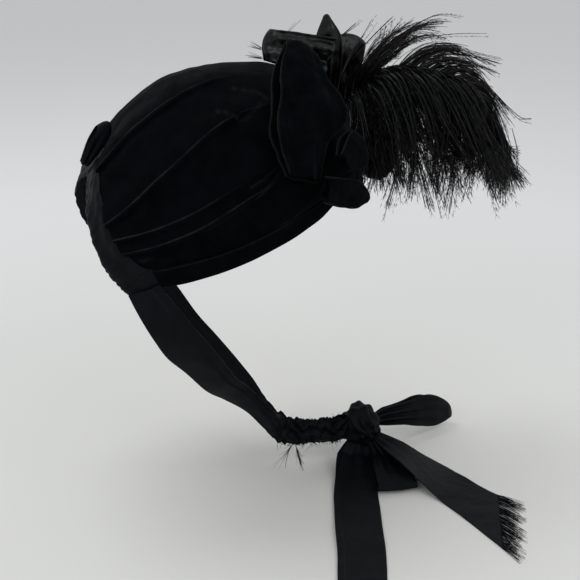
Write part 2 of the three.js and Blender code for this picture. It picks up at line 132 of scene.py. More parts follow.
def silk_velvet():
    material, tree, shader = new_material("silk velvet", {
        "Roughness": 0.95, "Specular IOR Level": 0.03, "IOR": 1.5,
        "Sheen Roughness": 0.35, "Sheen Tint": linear("#828d8a"),
    })
    place = add_node(tree, "ShaderNodeTexCoord").outputs["Object"]
    patch = add_node(tree, "ShaderNodeTexNoise", links={"Vector": place},
                     values={"Scale": 1 / (PILE_PATCH * MM), "Detail": 4.0, "Roughness": 0.6})
    cloudy = colour_ramp(tree, patch.outputs["Fac"], [(0.35, "#010203"), (0.7, "#04070a")])
    lean = add_node(tree, "ShaderNodeMapRange", links={"Value": patch.outputs["Fac"]},
                    values={"From Min": 0.35, "From Max": 0.7, "To Min": 0.03, "To Max": 0.13})
    tree.links.new(lean.outputs["Result"], shader.inputs["Sheen Weight"])
    # painted sheen: a value stored along the fold edges, broken up by noise, mixes the base colour
    # towards pale grey
    painted_sheen = add_node(tree, "ShaderNodeAttribute", {"attribute_name": "edge"})
    fuzz = add_node(tree, "ShaderNodeTexNoise", links={"Vector": place},
                    values={"Scale": 1 / (SHEEN_BREAK * MM), "Detail": 3.0, "Roughness": 0.7})
    broken = add_node(tree, "ShaderNodeMath", {"operation": "MULTIPLY", "use_clamp": True},
                      links={0: painted_sheen.outputs["Fac"], 1: fuzz.outputs["Fac"]})
    mixed = add_node(tree, "ShaderNodeMix", {"data_type": "RGBA"},
                     links={0: broken.outputs[0], 6: cloudy.outputs["Color"]})
    # the pale grey of the painted sheen along the fold edges
    mixed.inputs[7].default_value = linear("#3a3d3c")
    tree.links.new(mixed.outputs[2], shader.inputs["Base Color"])
    tuft = add_node(tree, "ShaderNodeTexNoise", links={"Vector": place},
                    values={"Scale": 1 / (PILE_GRAIN * MM), "Detail": 2.0})
    bump = add_node(tree, "ShaderNodeBump", values={"Strength": 0.35, "Distance": 0.25 * MM},
                    links={"Height": tuft.outputs["Fac"]})
    tree.links.new(bump.outputs["Normal"], shader.inputs["Normal"])
    return material


# %% [markdown]
# Faille is a flat silk ribbon with fine ribs across its width. The ribs follow the ribbon's own
# length, so they are drawn on the piece's UV map, which is laid out in metres of real cloth.

# %% Faille ribbon
RIB_PITCH = 0.9  # mm from rib to rib, a little coarser than the real 0.6
WAVE_REPEAT = 0.314  # distance from band to band of a wave texture of scale 1
CRUSH_SIZE = 9  # mm across a soft dent in the ribbon
RIBBON_WIDTH = 36  # mm of ribbon laid flat, which folds and gathers make narrower


def faille_ribbon():
    material, tree, shader = new_material("faille ribbon", {
        "Roughness": 0.5, "Specular IOR Level": 0.065, "IOR": 1.5, "Anisotropic": 0.25,
        "Sheen Weight": 0.012, "Sheen Roughness": 0.4, "Sheen Tint": linear("#8a93a2"),
    })
    cloth_place = add_node(tree, "ShaderNodeUVMap", {"uv_map": "weave"}).outputs["UV"]
    ribs = add_node(tree, "ShaderNodeTexWave", {"wave_type": "BANDS", "bands_direction": "Y"},
                    links={"Vector": cloth_place},
                    values={"Scale": WAVE_REPEAT / (RIB_PITCH * MM), "Distortion": 0.6, "Detail": 1.0})
    place = add_node(tree, "ShaderNodeTexCoord").outputs["Object"]
    crush = add_node(tree, "ShaderNodeTexNoise", links={"Vector": place},
                     values={"Scale": 1 / (CRUSH_SIZE * MM), "Detail": 4.0})
    tone = colour_ramp(tree, crush.outputs["Fac"], [(0.3, "#04070a"), (0.75, "#0a0e12")])
    tree.links.new(tone.outputs["Color"], shader.inputs["Base Color"])
    low = add_node(tree, "ShaderNodeBump", values={"Strength": 0.3, "Distance": 0.8 * MM},
                   links={"Height": crush.outputs["Fac"]})
    high = add_node(tree, "ShaderNodeBump", values={"Strength": 0.4, "Distance": 0.12 * MM},
                    links={"Height": ribs.outputs["Fac"], "Normal": low.outputs["Normal"]})
    tree.links.new(high.outputs["Normal"], shader.inputs["Normal"])
    return material


# %% [markdown]
# Satin floats its silk threads over the surface, so it is the one glossy cloth here. Its gloss
# is stretched along the threads, and small creases break it up.

# %% Satin
SATIN_CREASE = 13  # mm from one small crease to the next


def silk_satin():
    material, tree, shader = new_material("silk satin", {
        "Base Color": linear("#030405"), "Roughness": 0.3, "Specular IOR Level": 0.24,
        "IOR": 1.5, "Anisotropic": 0.45,
        "Sheen Weight": 0.025, "Sheen Roughness": 0.3, "Sheen Tint": linear("#9aa0a6"),
    })
    place = add_node(tree, "ShaderNodeTexCoord").outputs["Object"]
    crease = add_node(tree, "ShaderNodeTexNoise", links={"Vector": place},
                      values={"Scale": 1 / (SATIN_CREASE * MM), "Detail": 2.0, "Distortion": 0.5})
    bump = add_node(tree, "ShaderNodeBump", values={"Strength": 0.2, "Distance": 1.0 * MM},
                    links={"Height": crease.outputs["Fac"]})
    tree.links.new(bump.outputs["Normal"], shader.inputs["Normal"])
    return material


# %% [markdown]
# Ostrich barbs are dyed keratin, dull, with a faint gloss along each one. The dye is thin on
# the finest barbs, where some brown shows.

# %% Dyed ostrich
DYE_PATCH = 11  # mm across a patch where the dye is thinner


def dyed_ostrich(name, dark, brown, share):
    """share is how much of the feather shows some brown."""
    material, tree, shader = new_material(name, {
        "Roughness": 0.4, "Specular IOR Level": 0.13, "IOR": 1.54,
    })
    place = add_node(tree, "ShaderNodeTexCoord").outputs["Object"]
    clump = add_node(tree, "ShaderNodeTexNoise", links={"Vector": place},
                     values={"Scale": 1 / (DYE_PATCH * MM), "Detail": 3.0})
    tone = colour_ramp(tree, clump.outputs["Fac"], [(1 - share, dark), (1.0, brown)])
    tree.links.new(tone.outputs["Color"], shader.inputs["Base Color"])
    return material


VELVET = silk_velvet()
RIBBON = faille_ribbon()
SATIN = silk_satin()
OSTRICH = dyed_ostrich("dyed ostrich", "#030405", "#100e0c", 0.45)
OSTRICH_THIN = dyed_ostrich("dyed ostrich, thin barbs", "#060606", "#261d16", 0.55)
print("five finishes made")

# %% [markdown]
# The cloth was cut flat and then draped. Here a flat grid stands for the cut cloth, and a
# function moves each of its points to where it lies on the bonnet. Tables give each shape at a
# few stations, in millimetres, and a smooth curve runs through them.

# %% Helpers for cloth
EDGE_SHEEN = 0.22  # how strongly painted sheen lightens the pile along a fold or an edge, from 0 to 1


def clamp(x, low, high):
    return max(low, min(high, x))


def lerp(a, b, t):
    return a + (b - a) * t


def smooth(a, b, x):
    t = clamp((x - a) / (b - a), 0, 1)
    return t * t * (3 - 2 * t)


def column(values, t):
    """A smooth curve through values, which stand at equal steps from t = 0 to t = 1."""
    place = clamp(t, 0, 1) * (len(values) - 1)
    i = min(int(place), len(values) - 2)
    s = place - i
    a, b = values[i], values[i + 1]
    before = values[i - 1] if i > 0 else 2 * a - b
    after = values[i + 2] if i + 2 < len(values) else 2 * b - a
    return a + 0.5 * s * (b - before + s * (2 * before - 5 * a + 4 * b - after
                                            + s * (3 * (a - b) + after - before)))


def columns(table, t):
    return [column(values, t) for values in zip(*table)]


def point(table, t):
    return Vector(columns(table, t)[:3])


def wobble(place, size, seed):
    """Smooth noise from -1 to 1, with bumps about size mm across."""
    return noise.noise(Vector(place) / size + Vector((seed, 2 * seed, 3 * seed)))


def as_mesh(name, shape):
    mesh = bpy.data.meshes.new(name)
    shape.to_mesh(mesh)
    shape.free()
    return mesh


def grid_cloth(name, surface, across, along, width, length):
    """A flat grid moved to surface(u, v), which gives a point in mm and the painted sheen there."""
    cloth = bmesh.new()
    weave = cloth.loops.layers.uv.new("weave")
    edge = cloth.verts.layers.float.new("edge")
    bmesh.ops.create_grid(cloth, x_segments=across, y_segments=along, size=0.5)
    flat = {vertex: (vertex.co.x + 0.5, vertex.co.y + 0.5) for vertex in cloth.verts}
    for face in cloth.faces:
        for loop in face.loops:
            u, v = flat[loop.vert]
            loop[weave].uv = (u * width * MM, v * length * MM)
    for vertex, (u, v) in flat.items():
        place, painted_sheen = surface(u, v)
        vertex.co = place * MM
        vertex[edge] = painted_sheen
    mesh = as_mesh(name, cloth)
    mesh.shade_smooth()
    return mesh


def add_piece(name, mesh, material, stands_for=(), wall=0.0, offset=-1.0):
    """A finished piece. offset is -1 for a wall inside the cloth and 0 for one on both sides."""
    mesh.materials.append(material)
    piece = bpy.data.objects.new(name, mesh)
    bpy.context.scene.collection.objects.link(piece)
    if wall:
        thick = piece.modifiers.new("wall", "SOLIDIFY")
        thick.thickness = wall * MM
        thick.offset = offset
    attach(piece, "root")
    if stands_for:
        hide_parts(*stands_for)
    print(name, len(mesh.polygons), "faces")
    return piece


# %% [markdown]
# The crown is a row of arches from the back edge to the brow. Each arch runs from the right
# rim over the top to the left rim. The velvet is laid in pleats that fan out of the bow, and
# each pleat is a soft roll that hangs a little over the cloth below it.

# %% Crown
# rimX, rimY, rimZ, topX, topZ, lean, rise of each arch, back to front
ARCHES = [
    (-51, 68.0, -102, -65, -47, 14, 2.1),
    (-42, 72.0, -100, -57.5, -35, 9, 1.65),
    (-30, 75.5, -97, -46, -20.5, 5, 1.3),
    (-14, 78.0, -93, -27.5, -7, 2, 1.1),
    (2, 79.0, -88, -6, 0.5, 1, 1),
    (16, 77.5, -83, 18, 3, 0, 1),
    (30, 73.5, -78.5, 42, 0.5, -2, 1),
    (42, 68.0, -74.5, 62, -10, -4, 1),
    (52, 62.0, -71.5, 78, -26, -5, 1),
    (60, 56.5, -68, 89, -44, -4, 1),
    (66, 51.0, -65.5, 95.5, -62.5, 0, 1),
]
HEAD_CENTRE = Vector((0, 0, -105))
# Angle up the arch at five stations, depth in mm, and the station where the pleat fades
PLEATS = [
    ((25.5, 14.3, 17.5, 32, 40), 2.6, 0.62),
    ((34, 20.8, 23.5, 38, 46), 2.1, 0.46),
    ((42, 40, 50.5, 60, 64), 2.6, 0.60),
    ((71, 67.5, 73, 77, 79), 2.0, 0.52),
]
PLEAT_FOOT = 1.8  # degrees over which a pleat rolls down to its foot
PLEAT_BACK = 13  # degrees over which its back fades into the cloth above
OVERHANG = 1.1  # mm by which the roll hangs over its foot
PLEAT_SHEEN = 0.75  # how strongly painted sheen lightens the pile along a pleat, from 0 to 1
PLEAT_LINE = 0.14  # degrees, half the width of that painted sheen line
HEM_DEPTH = 1.4  # mm by which the velvet draws in at its lower edge
# Short creases pressed into the pile: (station, angle) points, depth in mm, half width in mm
CREASES = [
    (((0.45, 64), (0.51, 60), (0.53, 56)), 0.7, 1.3),
    (((0.40, 52), (0.45, 46)), 0.7, 1.2),
    (((0.45, 46), (0.49, 49), (0.53, 55)), 0.6, 1.2),
    (((0.46, 15), (0.51, 18), (0.54, 22)), 0.8, 1.2),
    (((0.44, 19), (0.49, 21), (0.53, 24)), 0.6, 1.1),
    (((0.03, 12), (0.10, 10), (0.15, 8.5)), 0.5, 1.2),
    (((0.03, 17), (0.11, 12.5)), 0.5, 1.2),
]
MM_PER_STATION = 168  # mm from the back edge to the brow
MM_PER_DEGREE = 1.35  # mm up the arch
CROWN_ROWS = 120


def arch_point(v, degrees):
    rim_x, rim_y, rim_z, top_x, top_z, lean, rise = columns(ARCHES, v)
    angle = math.radians(degrees)
    height = max(0.0, math.sin(angle)) ** rise
    shift = lean * math.sin(2 * min(angle, math.pi - angle))
    return Vector((lerp(rim_x, top_x, height) - shift, -rim_y * math.cos(angle),
                   lerp(rim_z, top_z, height)))


def pleat_angles(v):
    return [column(stations, v) for stations, _, _ in PLEATS]


def crown_angles(v):
    """The angles of the cloth's columns at one station, crowded together on each pleat."""
    side, lowest = [0.0], 0.0
    for crest, steps in zip(pleat_angles(v), (8, 5, 10, 9)):
        foot = crest - PLEAT_FOOT
        side += [lerp(lowest, foot, k / steps) for k in range(1, steps + 1)]
        side += [lerp(foot, crest, share) for share in (0.2, 0.4, 0.6, 0.8, 0.92, 1.0)]
        side += [crest + 0.15, crest + 0.5, crest + 1.2]
        lowest = crest + 1.2
    side += [lerp(lowest, 90, k / 8) for k in range(1, 9)]
    return side + [180 - angle for angle in reversed(side[:-1])]


def crease_at(v, side):
    """How deep the short creases sink the cloth at one place, and the painted sheen along them there.
    """
    sunk, painted_sheen = 0.0, 0.0
    here = Vector((v * MM_PER_STATION, side * MM_PER_DEGREE))
    for path, depth, wide in CREASES:
        places = [Vector((a * MM_PER_STATION, b * MM_PER_DEGREE)) for a, b in path]
        for start, end in zip(places, places[1:]):
            run = end - start
            t = clamp((here - start).dot(run) / run.length_squared, 0, 1)
            near = math.exp(-((here - start - run * t).length / wide) ** 2)
            sunk = max(sunk, depth * near)
            painted_sheen = max(painted_sheen, EDGE_SHEEN * near ** 4)
    return sunk, painted_sheen


def crown_lift(v, degrees):
    """Lift of the cloth off the arch, its slide down the arch, and the painted sheen on the pile."""
    side = min(degrees, 180 - degrees)
    lift, slide, painted_sheen = 0.0, 0.0, 0.0
    for crest, (_, depth, fade) in zip(pleat_angles(v), PLEATS):
        strength = 1 - smooth(fade - 0.25, fade, v)
        above = side - crest
        roll = clamp(1 + above / PLEAT_FOOT, 0, 1)
        lift += strength * depth * math.sin(math.pi / 2 * roll) * (1 - smooth(0, PLEAT_BACK, above))
        slide += strength * OVERHANG * math.sin(math.pi * roll) if above < 0 else 0
        patchy = clamp(0.75 + 0.9 * wobble((v * MM_PER_STATION, crest, 0), 9, 2.2), 0.15, 1)
        # painted sheen along each pleat's crest, in patches, fading where the pleat fades
        painted_sheen = max(painted_sheen, PLEAT_SHEEN * patchy * strength * math.exp(-(above / PLEAT_LINE) ** 2))
    sunk, crease_sheen = crease_at(v, side)
    return lift - sunk, slide, max(painted_sheen, crease_sheen)


ANGLES_AT = {}  # the columns' angles at each station, kept once worked out


def crown_surface(u, v):
    if v not in ANGLES_AT:
        ANGLES_AT[v] = crown_angles(v)
    angles = ANGLES_AT[v]
    degrees = angles[round((1 - u) * (len(angles) - 1))]
    place = arch_point(v, degrees)
    out = (place - HEAD_CENTRE).normalized()
    lift, slide, painted_sheen = crown_lift(v, degrees)
    swell = 1.1 * wobble((v * 70, degrees, 0), 15, 3.1) + 0.4 * wobble(place, 8, 1.7)
    hem = HEM_DEPTH * (1 - smooth(0, 4, min(degrees, 180 - degrees)))
    down = arch_point(v, degrees - 1 if degrees < 90 else degrees + 1) - place
    place += out * (lift + swell - hem) + down.normalized() * slide
    return place, painted_sheen


crown_columns = len(crown_angles(0)) - 1
crown_mesh = grid_cloth("crown_velvet", crown_surface, crown_columns, CROWN_ROWS, 235, 170)
crown = add_piece("crown_velvet", crown_mesh, VELVET, ["crown"], wall=1.6)

# %% [markdown]
# The brim is a strip of velvet folded over a wire. It is one sheet that goes down the outside,
# round a soft hem and up again inside, so the wire's roundness shows at the lower edge.

# %% Brim band
BAND_HEIGHT = 11.3  # mm at the sides and the back
BAND_FRONT = 9.3  # mm over the brow
BAND_HALF = 1.1  # mm, half the thickness of the folded band
BAND_SIDE = 0.36  # share of its length that each side takes
BAND_LEAN = 0.42  # slope of its ends, along with the back edge
BAND_HEM = 0.16  # share of its cloth that turns round the wire


def band_place(t):
    """The crown's station and angle at a share t of the band's length, from right to left."""
    if t < BAND_SIDE:
        return t / BAND_SIDE, 0.0
    if t > 1 - BAND_SIDE:
        return (1 - t) / BAND_SIDE, 180.0
    return 1.0, 180 * (t - BAND_SIDE) / (1 - 2 * BAND_SIDE)


def band_down(v, degrees):
    back = BAND_LEAN * (1 - smooth(0, 0.3, v))
    front = 0.05 * smooth(0.6, 1, v)
    swing = math.cos(math.radians(degrees))
    return Vector((back + front * (1 - 0.6 * abs(swing)), -front * swing, -1)).normalized()


def band_surface(u, v):
    station, degrees = band_place(lerp(0.994, 0.006, v))
    top = arch_point(station, degrees)
    down = band_down(station, degrees)
    out = Vector((top.x * 0.35, top.y, 0)).normalized()
    turn = clamp((abs(2 * u - 1) - BAND_HEM) / (1 - BAND_HEM), 0, 1)
    height = lerp(BAND_HEIGHT, BAND_FRONT, smooth(0.55, 1, station))
    hang = lerp(height - BAND_HALF, 0.3, turn)
    side = 1 if u < 0.5 else -1
    if turn == 0:
        bend = math.pi / 2 * (1 - abs(2 * u - 1) / BAND_HEM)
        hang += BAND_HALF * math.sin(bend)
        side *= math.cos(bend)
    ripple = 0.35 * wobble(top, 14, 5.0)
    # painted sheen: a thin pale line along the band's top edges, next to the crown
    painted_sheen = EDGE_SHEEN * math.exp(-((turn - 1) / 0.06) ** 2)
    return top + down * hang + out * (BAND_HALF * side + ripple - 1.2), painted_sheen


band_mesh = grid_cloth("brim_velvet", band_surface, 24, 170, 24, 360)
band = add_piece("brim_velvet", band_mesh, VELVET, ["brim_band"], wall=0.5)

# %% [markdown]
# Behind the velvet's back edge runs a length of the same ribbon as the ties. Its inner edge is
# sewn under the velvet, and it lies in long soft folds that small creases cross. Waves and
# smooth noise make them, because those can be steered where a cloth simulation can't.

# %% Back binding
# x, y, z of the outer edge on the left half, from its low end to the middle of the back
BINDING_EDGE = [(-61, 61, -120), (-67, 58, -114), (-73, 54, -107), (-78, 46.5, -95),
                (-81, 35, -80), (-79, 19, -68), (-76, 0, -61)]
BINDING_TAIL = 20  # degrees by which it goes on below the rim, behind the band's end
BINDING_UNDER = 0.1  # share of its width by which its inner edge lies under the velvet
BINDING_GATHERS = 11  # shallow gathers on each half of its outer edge


def binding_surface(u, v):
    half = 1 - abs(2 * v - 1)
    mirror = 1 if v > 0.5 else -1
    angle = lerp(-BINDING_TAIL, 90, half)
    inner = arch_point(0, max(angle, 0))
    if angle < 0:
        inner += band_down(0, 0) * (BAND_HEIGHT * -angle / BINDING_TAIL)
    outer = point(BINDING_EDGE, half)
    outer.y = -outer.y
    place = inner.lerp(outer, lerp(-BINDING_UNDER, 1, u))
    out = (place - HEAD_CENTRE).normalized()
    start = smooth(0, 0.12, half)
    jitter = 1.3 * wobble((half * 40, mirror * 9, 0), 4, 2.0)
    ruffle = 0.25 * math.sin(math.tau * (BINDING_GATHERS * half + jitter) + 1.6 * u) * u * u
    ruffle += 0.25 * wobble((half * 150, mirror * 20, u * 9), 3.4, 5.0)
    wander = 0.8 * wobble((half * 60, mirror * 5, 0), 14, 7.0)
    long_folds = 0.56 * math.sin(math.pi * (2.6 * u + wander))
    creases = 0.5 * wobble((half * 110 + u * 16, u * 10, mirror * 12), 4.5, 3.0)
    bulge = 1.5 * math.sin(math.pi * u)
    place += out * (start * (bulge + ruffle + long_folds + creases) - 0.3)
    place.y *= mirror
    return place, 0.0


binding_mesh = grid_cloth("back_binding_ribbon", binding_surface, 16, 420, RIBBON_WIDTH, 300)
binding = add_piece("back_binding_ribbon", binding_mesh, RIBBON,
                    ["back_binding"], wall=0.5)

# %% [markdown]
# Every bow is made of loops: a strip that leaves its root, folds over at its tip and comes
# back. It is gathered at the root, so small folds run out along it and fade towards the tip.

# %% Loops
LOOP_GAP = 1.2  # mm, half the room between the two layers of a loop
TUCK_REACH = 0.09  # share of a ribbon loop's length over which it draws into the knot


def loop_surface(root, tip, across, swell, widths, rounded, folds, fold_depth, seed, skew=0.0,
                 crown=0.0, back=1.0, rough=0.5, tuck=None):
    """A loop from root to tip. widths gives its reach to both sides at stations along it, swell
    its fullness, rounded and skew the shape of its tip, crown the bulge of its face, back the
    share of these that its hidden layer has, and tuck a point that its root is drawn to."""
    root, tip = Vector(root), Vector(tip)
    axis = tip - root
    along = axis.normalized()
    side = Vector(across)
    side = (side - along * side.dot(along)).normalized()
    out = side.cross(along).normalized()

    def surface(u, v):
        turn = 2 * math.pi * v
        reach = (1 - math.cos(turn)) / 2
        a, b = columns(widths, reach)
        edge = 2 * u - 1
        face = math.cos(math.pi * v)
        share = back if v > 0.5 else 1
        room = swell * math.sin(turn) * (0.3 + 0.7 * reach)
        gather = fold_depth * math.sin(math.pi * folds * edge + seed) * (1 - reach) ** 1.2
        place = root + axis * reach + side * lerp(-a, b, u)
        place -= along * (reach * reach * (rounded * edge * edge + skew * edge))
        bulge = crown * (1 - edge * edge) * face
        place += out * (share * (room + bulge + gather) + LOOP_GAP * face)
        place += out * rough * (wobble(place, 11, seed) + 0.4 * wobble(place, 4, seed))
        if tuck:
            place = place.lerp(tuck, 0.5 * (1 - smooth(0, TUCK_REACH, reach)))
        # painted sheen along the loop's edges and round its tip; only the velvet's shader shows it
        painted_sheen = EDGE_SHEEN * max(math.exp(-((abs(edge) - 1) / 0.03) ** 2),
                               math.exp(-((reach - 1) / 0.002) ** 2))
        return place, painted_sheen
    return surface


def add_loop(name, node, material, slot, flat, wall, across_steps=26, along_steps=110,
             rests_on="crown_velvet", **shape):
    width, length = flat
    mesh = grid_cloth(name, loop_surface(**shape), across_steps, along_steps, width, length)
    piece = add_piece(name, mesh, material, [node], wall=wall, offset=0.0)


add_loop("back_loop_ribbon", "back_ribbon_loop", RIBBON, "black_faille_ribbon", (10, 70),
         wall=0.5, root=(-77, -4, -53), tip=(-62, -10, -27.5), across=(-0.85, -0.2, 0.5), swell=3.5,
         widths=[(2, 3), (3.5, 5), (4, 5)], rounded=5, back=0.8, folds=2, fold_depth=0.8, seed=1.0)

# %% [markdown]
# The velvet bow has one big upright loop and smaller ones tucked in front of it. Loops of
# velvet are thick, so they swell and their edges roll.

# %% Velvet bow
VELVET_LOOPS = [
    ("bow_velvet_main", "velvet_loop_main", (46, 130), 44, 150, dict(
        root=(36, -81, -52), tip=(46, -33, 17.5), across=(0.94, 0.3, -0.1), swell=8,
        widths=[(12, 10), (20, 14), (18, 29), (16, 16), (8, 8)], rounded=3, crown=2.4,
        back=0.3, folds=1.6, fold_depth=2.0, rough=1.6, seed=0.7)),
    ("bow_velvet_front", "velvet_loop_front", (22, 52), 28, 90, dict(
        root=(60, -77, -45), tip=(78.5, -61, -38), across=(-0.1, 0.3, 0.93), swell=4.5,
        widths=[(6, 5), (10, 10), (11, 11)], rounded=6, crown=1.8, back=0.4, folds=2,
        fold_depth=1.0, rough=0.9, seed=2.1)),
    ("bow_velvet_low", "velvet_lobe_low", (17, 88), 22, 110, dict(
        root=(46, -90, -57), tip=(80, -68, -69), across=(0.3, 0.25, 0.9), swell=4.5,
        widths=[(7, 7), (8, 8), (8, 8), (3, 3)], rounded=2, crown=1.5, back=0.2, folds=1.5,
        fold_depth=0.9, rough=1.0, seed=3.3)),
    ("bow_velvet_left", "velvet_loop_left", (28, 52), 24, 80, dict(
        root=(104.5, -6, -57), tip=(122, -2, -68), across=(-0.3, 0, 0.95), swell=5,
        widths=[(10, 12), (14, 19), (11, 12)], rounded=6, crown=1.5, folds=2,
        fold_depth=0.8, rough=0.8, seed=4.4)),
]
for name, node, flat, across_steps, along_steps, shape in VELVET_LOOPS:
    add_loop(name, node, VELVET, "black_velvet", flat, wall=1.4,
             across_steps=across_steps, along_steps=along_steps, **shape)

# %% [markdown]
# Behind the velvet stands a bow of satin: a low loop that lies back over the crown, a pinched
# peak, and a loop in front of the peak. Satin creases sharply where it is gathered.

# %% Satin bow
SATIN_LOOPS = [
    ("bow_satin_back", "satin_loop_back", (24, 95), dict(
        root=(78, 9, -6), tip=(37, 9, 12.5), across=(0.05, 0.15, 0.98), swell=5,
        widths=[(6, 22), (6, 16), (9, 10)], rounded=3, skew=-1.5, crown=-1.2, folds=2.2,
        fold_depth=3.0, rough=1.8, seed=5.2)),
    ("bow_satin_peak", "satin_peak", (17, 98), dict(
        root=(84, 22, -20), tip=(83, 22, 28), across=(0.95, -0.2, 0), swell=2.4,
        widths=[(7, 7), (8, 9), (8, 10), (6, 9), (1.5, 2)], rounded=1, folds=2.2,
        fold_depth=1.6, rough=0.9, seed=6.1)),
    ("bow_satin_front", "satin_loop_front", (20, 98), dict(
        root=(93, 29, -34), tip=(105, 31, 14), across=(0.95, 0.1, -0.2), swell=4.5,
        widths=[(8, 11), (9, 9), (11, 10)], rounded=3, crown=1, folds=2.4, fold_depth=1.3,
        rough=1.2, seed=7.7)),
]
for name, node, flat, shape in SATIN_LOOPS:
    add_loop(name, node, SATIN, "black_satin", flat, wall=0.5, **shape)

# %% [markdown]
# The ties run from the bonnet's back corners, below the ears, to the chin. The ribbon is folded
# along its length there, so a narrow strip of its under layer shows along one edge. Under the
# chin it has been tied so often that it is crushed into crinkles with ragged edges.

# %% Ties
# x, y, z of the right tie's outer edge and of its inner edge, from the back corner to the knot
TIE = [(-62, -62.6, -121, -44.8, -70, -113.4), (-57.5, -68, -131, -37, -73, -123),
       (-51, -68, -144, -28, -72, -137), (-43, -64, -158, -19, -69, -150),
       (-31, -58, -172, -10, -64, -164), (-17, -49, -190, 0, -56, -180),
       (-4, -42, -201, 10, -46, -192), (12, -33, -216, 21, -36, -206),
       (26, -23, -235, 32, -26, -221), (40, -13, -254, 43, -13, -235.5),
       (55, -7, -261, 55, -7, -242), (70, -5, -263.5, 69, -5, -245.5),
       (83, -4.5, -265, 82.5, -4.5, -246.5), (91, -4, -264, 90.5, -4, -249)]
CHIN_START = 0.68  # station from which the ribbon is crushed
CHIN_SHARE = 0.5  # share of the cloth's rows given to the crushed stretch
KNOT_START = 0.95  # station from which the ribbon runs into the knot
UNDER_LAYER = 0.70  # share of the width at which the upper layer ends
TIE_LENGTH = 330  # mm, against which the crinkles are measured
TIE_TUCK = Vector((-1.3, 1.6, 3.4))  # mm by which its start goes under the binding
LEFT_DROP = 4.5  # mm by which the left tie hangs lower under the chin


def tie_surface(mirror):
    def surface(u, v):
        split = 1 - CHIN_SHARE
        t = CHIN_START * v / split if v < split else lerp(CHIN_START, 1, (v - split) / CHIN_SHARE)
        ox, oy, oz, ix, iy, iz = columns(TIE, t)
        across = u if mirror > 0 else 1 - u
        outer, inner = Vector((ox, oy, oz)), Vector((ix, iy, iz))
        place = outer.lerp(inner, across)
        crushed = smooth(CHIN_START - 0.08, CHIN_START + 0.05, t)
        flat = 1 - crushed
        ends = 1 - smooth(KNOT_START, 1, t)
        run = t * TIE_LENGTH + 6 * wobble((t * TIE_LENGTH, mirror * 20, across * 9), 8, 6.0)
        crush = 1.3 * wobble((run, across * 8, mirror * 7), 7.5, 8.0)
        crush += 1.7 * wobble((run * 0.55, across * 14, mirror * 7), 3.0, 5.0)
        crush += 0.8 * wobble((run, across * 15, 3), 1.7, 2.0)
        wander = 1.3 * wobble((run, 0, mirror * 9), 18, 1.0)
        pulled = 1.1 * math.sin(math.tau * (2.1 * across + wander))
        layer = 0.9 * (1 - smooth(UNDER_LAYER, UNDER_LAYER + 0.05, across))
        crease = 0.5 * wobble((t * 110, across * 20, 0), 8, 9.0 * mirror)
        pinch = 0.8 * wobble((t * 60, across * 16, 5), 2.6, 4.0) * (1 - smooth(0, 0.09, t))
        bulge = 1.6 * math.sin(math.pi * across) + layer + crease + pinch
        place.y -= bulge * flat - (crush + pulled) * crushed * ends
        ragged = 2.2 * wobble((t * 260, mirror * 30, across * 3), 2.6, 4.0)
        side = (inner - outer).normalized()
        place += side * (ragged * (2 * across - 1) * crushed * ends)
        place += TIE_TUCK * (1 - smooth(0, 0.02, t))
        place.x += 7 * smooth(KNOT_START, 1, t)
        place.y *= mirror
        if mirror < 0:
            place.z -= LEFT_DROP * crushed * (1 - smooth(0.92, 1, t))
        return place, 0.0
    return surface


for name, node, mirror in (("ribbon_tie_right", "tie_right", 1),
                           ("ribbon_tie_left", "tie_left", -1)):
    mesh = grid_cloth(name, tie_surface(mirror), 24, 300, RIBBON_WIDTH, 260)
    tie = add_piece(name, mesh, RIBBON, [node], wall=0.45, offset=0.0)

# %% [markdown]
# The knot is the ribbon pulled tight round itself: a lump of tucks and folds, with one turn of
# the ribbon wrapped over it. Both follow one skin, which gives the lump's surface in any
# direction from its middle.

# %% Knot
KNOT = Vector((106, -1, -256.5))  # its middle
KNOT_SIZE = Vector((14.3, 12, 15.5))  # mm from its middle to its skin
WRAP_AXIS = Vector((0.86, 0.1, 0.5)).normalized()  # the wrapped turn goes round this line
KNOT_CLOTH = (90, 45)  # mm of ribbon round the knot and over it, for the ribs


def knot_skin(way, lift=0.0):
    """A point in mm on the lump, or lift above it, in the direction way from its middle."""
    turn = math.atan2(way.z, way.x)
    tucks = 0.05 * math.sin(6 * turn + 4 * way.y + 3 * wobble(way * 10, 8, 4.0))
    lumps = 0.20 * wobble(way * 10, 9, 6.0) + 0.09 * wobble(way * 10, 4, 2.0)
    sunk = 0.10 * math.exp(-(way.dot(WRAP_AXIS) / 0.3) ** 2)
    reach = 0.97 + tucks + lumps - sunk
    skin = Vector((way.x * KNOT_SIZE.x, way.y * KNOT_SIZE.y, way.z * KNOT_SIZE.z)) * reach
    return skin + KNOT + way * lift


def knot_mesh():
    ball = bmesh.new()
    weave = ball.loops.layers.uv.new("weave")
    bmesh.ops.create_uvsphere(ball, u_segments=96, v_segments=64, radius=1.0, calc_uvs=True)
    for vertex in ball.verts:
        vertex.co = knot_skin(vertex.co.normalized()) * MM
    for face in ball.faces:
        for loop in face.loops:
            loop[weave].uv = [share * size * MM for share, size in zip(loop[weave].uv, KNOT_CLOTH)]
    mesh = as_mesh("knot_ribbon", ball)
    mesh.shade_smooth()
    return mesh


